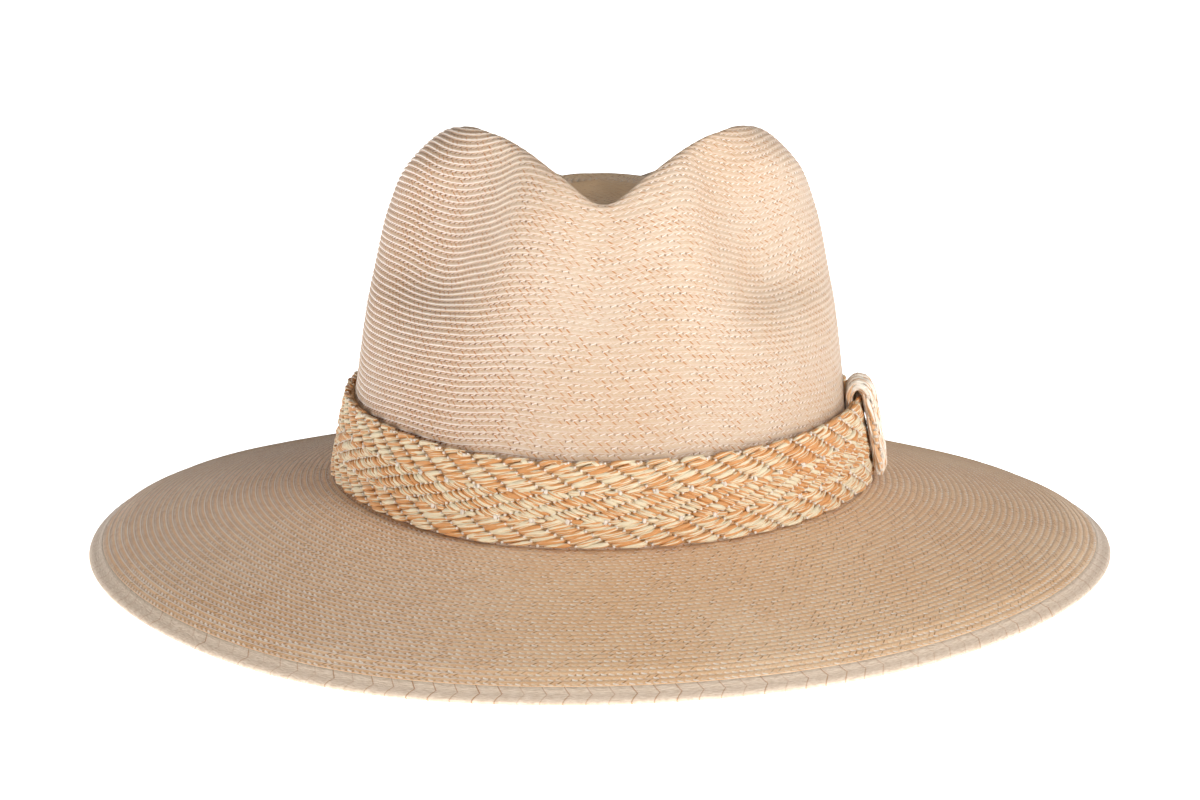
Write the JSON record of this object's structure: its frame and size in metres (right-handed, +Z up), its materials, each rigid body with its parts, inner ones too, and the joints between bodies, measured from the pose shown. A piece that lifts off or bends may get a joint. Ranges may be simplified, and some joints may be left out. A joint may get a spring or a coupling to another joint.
{
  "type": "palm leaf hat",
  "caption": "Wide-brimmed hat of sewn palm leaf braid, with a dented crown pinched at the front, and a plaited band held by a short strap.",
  "frame": {"origin": "on the resting plane, under the middle of the hat's outline", "axes": "+Z up, the front of the hat faces -Y, +Y runs from front to back, +X is the side with the band's keeper"},
  "size_m": [0.364, 0.392, 0.1597],
  "materials": {
    "palm_braid": "sewn palm leaf braid, dry and slightly glossy",
    "palm_braid_brim": "sewn palm leaf braid, dry and slightly glossy",
    "palm_plait": "flat palm leaf plait",
    "band_plait": "cream and tan leaf strands bound with pale thread",
    "keeper_plait": "cream and tan leaf strands"
  },
  "bodies": {
    "root": {"crown": "palm_braid", "brim": "palm_braid_brim", "edge_braid": "palm_plait", "band": "band_plait", "band_keeper": "keeper_plait"}
  },
  "joints": []
}
